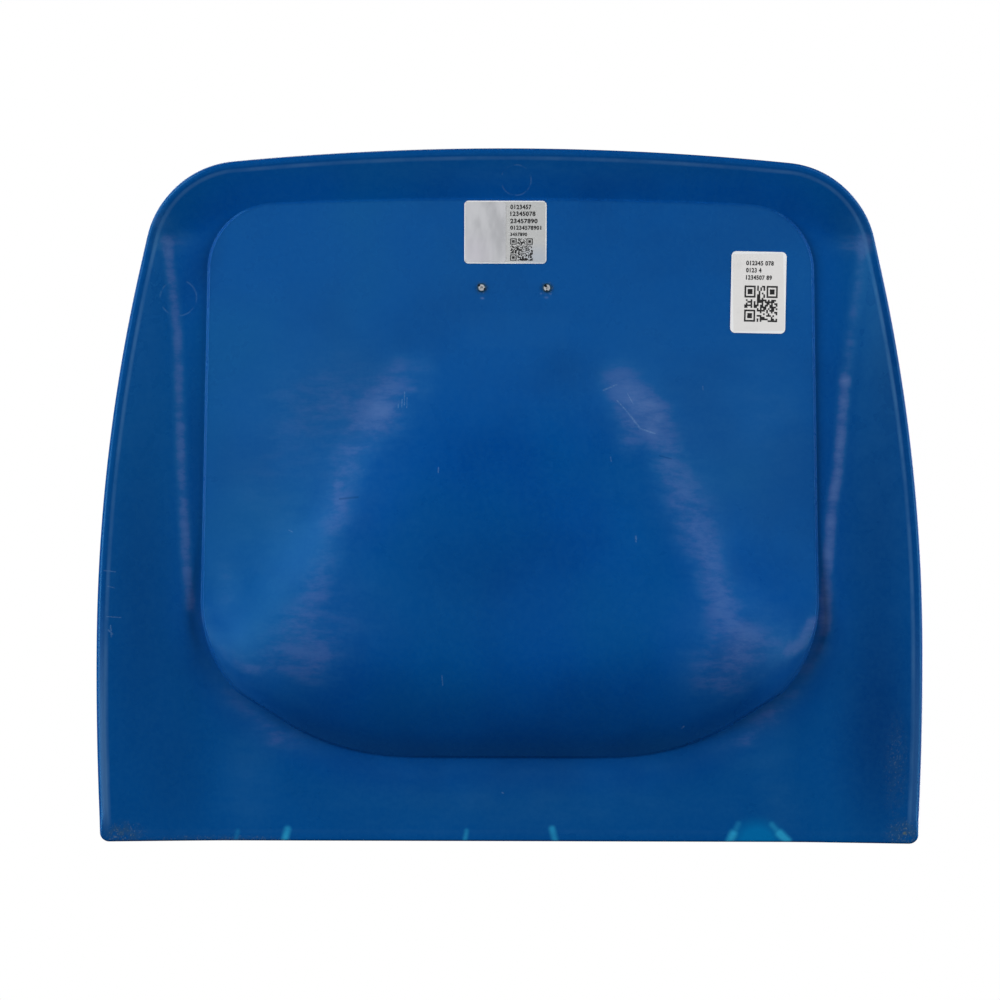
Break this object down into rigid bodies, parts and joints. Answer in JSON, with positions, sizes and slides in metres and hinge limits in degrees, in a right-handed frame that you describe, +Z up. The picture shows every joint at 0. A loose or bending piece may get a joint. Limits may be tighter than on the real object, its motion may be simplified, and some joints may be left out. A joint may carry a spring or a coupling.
{
  "type": "stadium seat back shell",
  "caption": "Moulded blue stadium seat back with folded wings, a raised lumbar panel, stickers, old plate rivets and steel rear brackets.",
  "frame": {"origin": "centre of the four side weld nuts, on the plane of the brackets' rear faces that bolts against the stand", "axes": "+X across the width, +Z up, +Y out of the back; the front of the shell faces -Y"},
  "size_m": [0.44, 0.0487, 0.37],
  "materials": {
    "shell_plastic": "satin blue polypropylene, scuffed",
    "label_film": "light grey printed film",
    "label_foil": "metallic grey foil",
    "seat_label_film": "warm white printed film",
    "zinc_steel": "zinc plated",
    "insert_brass": "turned",
    "screw_steel": "zinc plated",
    "spring_steel": "dark zinc",
    "rivet_aluminium": "dull bright",
    "mandrel_steel": "broken off"
  },
  "bodies": {
    "root": {"back_shell": "shell_plastic", "certificate_label": "label_film", "foil_patch": "label_foil", "seat_number_label": "seat_label_film", "left_bracket": "zinc_steel", "right_bracket": "zinc_steel", "centre_bracket": "zinc_steel", "threaded_inserts": "insert_brass", "bracket_screws": "screw_steel", "flat_washers": "screw_steel", "lock_washers": "spring_steel", "weld_nuts": "screw_steel", "plate_rivets": "rivet_aluminium", "rivet_mandrels": "mandrel_steel"}
  },
  "joints": []
}
